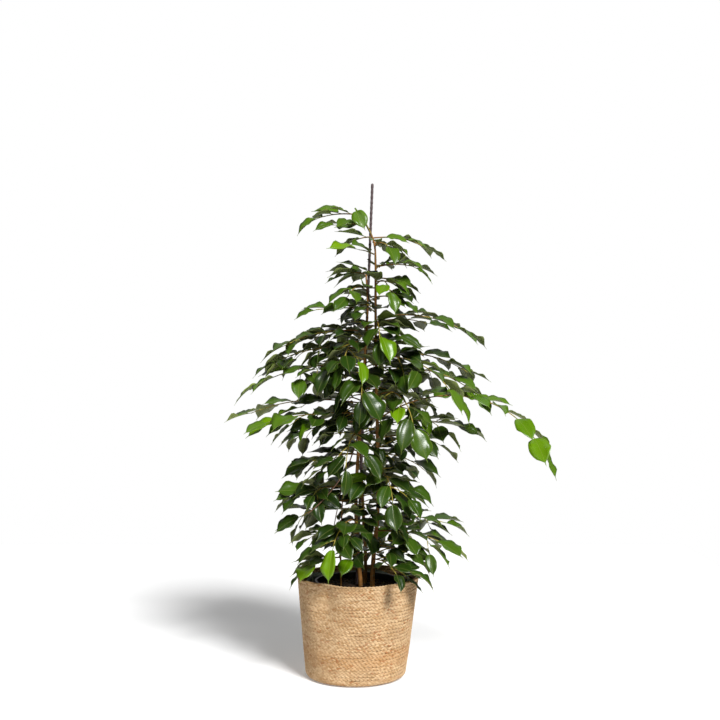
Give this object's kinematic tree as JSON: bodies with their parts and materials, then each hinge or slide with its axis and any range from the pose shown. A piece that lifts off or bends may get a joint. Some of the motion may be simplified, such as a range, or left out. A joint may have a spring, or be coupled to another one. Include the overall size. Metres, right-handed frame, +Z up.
{
  "type": "potted danielle weeping fig",
  "caption": "Young weeping fig with drooping leafy branches on slender trunks beside a cane, in a nursery pot with a film liner inside a soft woven basket.",
  "frame": {"origin": "centre of the basket's flat underside", "axes": "+Z up along the tree, +X to the viewer's right, +Y away from the viewer"},
  "size_m": [0.6824, 0.3845, 1.0261],
  "materials": {
    "straw": "braided natural fibre, matt",
    "film": "thin crumpled plastic film",
    "black_plastic": "thin moulded plastic",
    "soil": "moist crumbly potting soil",
    "cane": "smooth dark cane",
    "bark": "thin reddish brown bark",
    "clip_plastic": "moulded plastic",
    "leaf_dark": "glossy leathery leaf, mature",
    "leaf_fresh": "glossy soft leaf, young"
  },
  "bodies": {
    "root": {"basket": "straw", "liner": "film", "nursery_pot": "black_plastic", "soil": "soil", "cane": "cane", "plant_clip": "clip_plastic", "stem_left": "bark", "stem_right": "bark", "stem_back": "bark", "stem_shoot": "bark", "branch_01": "leaf_fresh", "branch_02": "leaf_dark", "branch_03": "leaf_fresh", "branch_04": "leaf_fresh", "branch_05": "leaf_dark", "branch_06": "leaf_dark", "branch_07": "leaf_dark", "branch_08": "leaf_dark", "branch_09": "leaf_dark", "branch_10": "leaf_fresh", "branch_11": "leaf_dark", "branch_12": "leaf_dark", "branch_13": "leaf_dark", "branch_14": "leaf_dark", "branch_15": "leaf_dark", "branch_16": "leaf_dark", "branch_17": "leaf_fresh", "branch_18": "leaf_dark", "branch_19": "leaf_dark", "branch_20": "leaf_dark", "branch_21": "leaf_fresh", "branch_22": "leaf_dark", "branch_23": "leaf_fresh", "branch_24": "leaf_dark", "branch_25": "leaf_dark", "branch_26": "leaf_dark", "branch_27": "leaf_dark", "branch_28": "leaf_dark", "branch_29": "leaf_fresh", "branch_30": "leaf_fresh", "branch_31": "leaf_dark", "branch_32": "leaf_dark", "branch_33": "leaf_dark", "branch_34": "leaf_dark", "branch_35": "leaf_dark", "branch_36": "leaf_dark", "branch_37": "leaf_dark", "branch_38": "leaf_dark", "branch_39": "leaf_dark", "branch_40": "leaf_dark", "branch_41": "leaf_dark", "branch_42": "leaf_dark", "branch_43": "leaf_dark", "branch_44": "leaf_dark", "branch_45": "leaf_dark", "branch_46": "leaf_dark", "branch_47": "leaf_dark", "branch_48": "leaf_fresh", "branch_49": "leaf_dark", "branch_50": "leaf_dark"}
  },
  "joints": []
}
